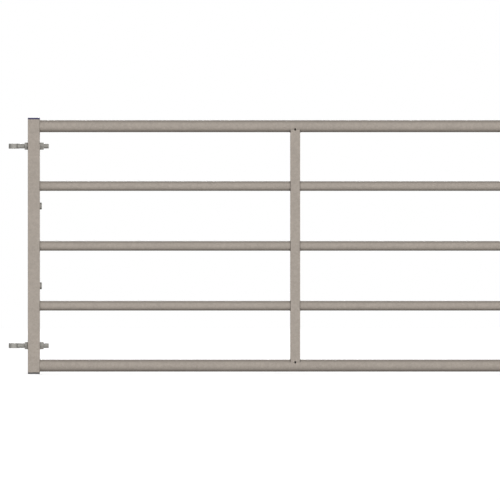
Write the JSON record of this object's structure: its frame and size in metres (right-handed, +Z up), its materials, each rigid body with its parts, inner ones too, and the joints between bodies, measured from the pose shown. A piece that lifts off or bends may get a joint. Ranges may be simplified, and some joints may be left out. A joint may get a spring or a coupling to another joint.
{
  "type": "cattle gate",
  "caption": "Tubular steel cattle gate: round rails between square stiles, a middle upright, adjustable hinge eye bolts, plastic stile caps and a sliding latch bolt.",
  "frame": {"origin": "middle of the lower hinge eye, on the line that the gate swings about", "axes": "+X along the rails from the hinges to the closing end, +Z up along the hinge line, front of the gate towards -Y"},
  "size_m": [2.846, 0.0604, 1.284],
  "materials": {
    "galvanised_tube": "dull hot-dip galvanised, warm grey with a faint mottle",
    "zinc_hardware": "zinc-coated, a more neutral grey than the tubes",
    "top_cap_plastic": "moulded dark blue polyethylene, satin",
    "bottom_cap_plastic": "moulded dark grey polyethylene, satin"
  },
  "bodies": {
    "gate_frame": {"hinge_stile": "galvanised_tube", "closing_stile": "galvanised_tube", "centre_upright": "galvanised_tube", "top_rail": "galvanised_tube", "bottom_rail": "galvanised_tube", "lower_rail_hinge_bay": "galvanised_tube", "lower_rail_closing_bay": "galvanised_tube", "middle_rail_hinge_bay": "galvanised_tube", "middle_rail_closing_bay": "galvanised_tube", "upper_rail_hinge_bay": "galvanised_tube", "upper_rail_closing_bay": "galvanised_tube", "hinge_stile_top_cap": "top_cap_plastic", "hinge_stile_bottom_cap": "bottom_cap_plastic", "closing_stile_top_cap": "top_cap_plastic", "closing_stile_bottom_cap": "bottom_cap_plastic", "lower_weld_nut": "zinc_hardware", "upper_weld_nut": "zinc_hardware", "latch_guide": "galvanised_tube"},
    "lower_eye_bolt": {"lower_eye_bolt": "zinc_hardware"},
    "lower_outer_nut": {"lower_outer_nut": "zinc_hardware"},
    "lower_inner_nut": {"lower_inner_nut": "zinc_hardware"},
    "upper_eye_bolt": {"upper_eye_bolt": "zinc_hardware"},
    "upper_outer_nut": {"upper_outer_nut": "zinc_hardware"},
    "upper_inner_nut": {"upper_inner_nut": "zinc_hardware"},
    "latch": {"latch_bolt": "zinc_hardware", "latch_collar": "zinc_hardware"}
  },
  "joints": [
    {"name": "lower_inner_nut_turn", "type": "hinge", "parent": "gate_frame", "child": "lower_inner_nut", "pos_m": [0.14355, 0, 0], "axis": [1, 0, 0], "range_deg": [-2160.1, 2160.1]},
    {"name": "lower_outer_nut_turn", "type": "hinge", "parent": "gate_frame", "child": "lower_outer_nut", "pos_m": [0.06595, 0, 0], "axis": [1, 0, 0], "range_deg": [-2160.1, 2160.1]},
    {"name": "lower_eye_slide", "type": "slide", "parent": "gate_frame", "child": "lower_eye_bolt", "axis": [1, 0, 0], "range_m": [-0.018, 0.018]},
    {"name": "upper_inner_nut_turn", "type": "hinge", "parent": "gate_frame", "child": "upper_inner_nut", "pos_m": [0.14355, 0, 1], "axis": [1, 0, 0], "range_deg": [-2160.1, 2160.1]},
    {"name": "upper_outer_nut_turn", "type": "hinge", "parent": "gate_frame", "child": "upper_outer_nut", "pos_m": [0.06595, 0, 1], "axis": [1, 0, 0], "range_deg": [-2160.1, 2160.1]},
    {"name": "upper_eye_slide", "type": "slide", "parent": "gate_frame", "child": "upper_eye_bolt", "axis": [1, 0, 0], "range_m": [-0.018, 0.018]},
    {"name": "latch_slide", "type": "slide", "parent": "gate_frame", "child": "latch", "axis": [1, 0, 0], "range_m": [-0.08, 0]}
  ],
  "couplings": [
    {"joint": "lower_inner_nut_turn", "follows": "lower_eye_slide", "rad_per_m": -2094.4},
    {"joint": "lower_outer_nut_turn", "follows": "lower_eye_slide", "rad_per_m": -2094.4},
    {"joint": "upper_inner_nut_turn", "follows": "upper_eye_slide", "rad_per_m": -2094.4},
    {"joint": "upper_outer_nut_turn", "follows": "upper_eye_slide", "rad_per_m": -2094.4}
  ]
}
